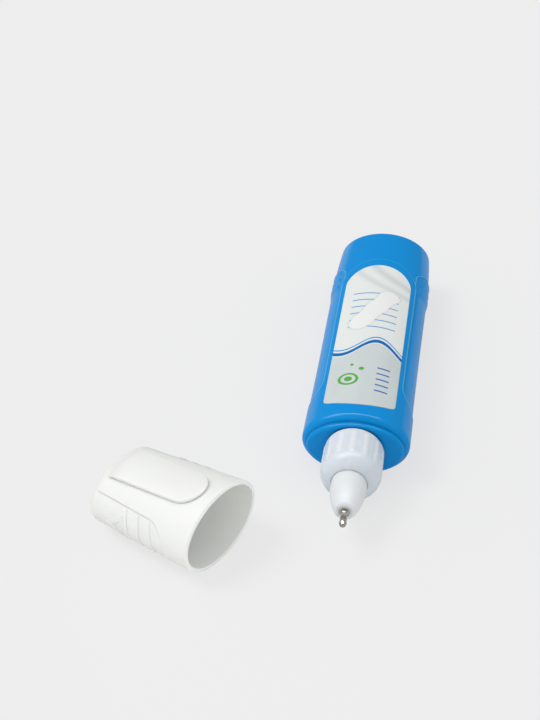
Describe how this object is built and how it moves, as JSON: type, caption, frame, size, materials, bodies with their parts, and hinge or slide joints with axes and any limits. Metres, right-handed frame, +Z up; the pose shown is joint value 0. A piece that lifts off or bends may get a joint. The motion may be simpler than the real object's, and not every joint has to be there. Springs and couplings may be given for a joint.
{
  "type": "correction pen",
  "caption": "Squeeze correction pen with an oval bottle, screw collar, metal ball tip and spring valve, lying flat with its clip cap taken off beside it.",
  "frame": {"origin": "on the table, under the middle of the box round the pen and its cap", "axes": "+Y along the pen from its tip to its base, +Z up from the table, +X to the pen's side away from the cap"},
  "size_m": [0.0577, 0.1079, 0.0151],
  "materials": {
    "bottle_plastic": "blue moulded plastic, satin gloss",
    "label_film": "printed film, silver grey and pale zones",
    "collar_plastic": "pale, slightly translucent plastic",
    "nose_plastic": "white moulded plastic",
    "cap_plastic": "white moulded plastic",
    "tip_metal": "turned and plated metal",
    "steel": "plain steel",
    "gasket_rubber": "soft black rubber",
    "valve_plastic": "natural white plastic"
  },
  "bodies": {
    "bottle": {"bottle": "bottle_plastic", "front_label": "label_film"},
    "nozzle": {"nose": "nose_plastic", "tip_tube": "tip_metal", "neck_gasket": "gasket_rubber", "spring_seat": "valve_plastic", "valve_spring": "steel"},
    "collar": {"screw_collar": "collar_plastic"},
    "valve": {"point_ball": "steel", "valve_pin": "steel", "valve_plunger": "valve_plastic"},
    "stirrer": {"mixing_ball": "steel"},
    "cap": {"cap": "cap_plastic"}
  },
  "joints": [
    {"name": "nozzle_draw", "type": "slide", "parent": "bottle", "child": "nozzle", "axis": [0, -1, 0], "range_m": [0, 0.0045]},
    {"name": "collar_turn", "type": "hinge", "parent": "nozzle", "child": "collar", "pos_m": [0.01809, -0.02399, 0.0072], "axis": [0, -1, 0], "range_deg": [0, 811]},
    {"name": "valve_push", "type": "slide", "parent": "nozzle", "child": "valve", "axis": [0, 1, 0], "range_m": [0, 0.0003], "stiffness_N_per_m": 300, "deforming": ["valve_spring"]},
    {"name": "ball_roll", "type": "slide", "parent": "bottle", "child": "stirrer", "axis": [0, 1, 0], "range_m": [-0.0079, 0.0563]},
    {"name": "cap_lift", "type": "slide", "parent": "bottle", "child": "cap", "axis": [0, 0, 1], "range_m": [0, 0.05]}
  ],
  "couplings": [
    {"joint": "collar_turn", "follows": "nozzle_draw", "rad_per_m": 3141.6}
  ]
}
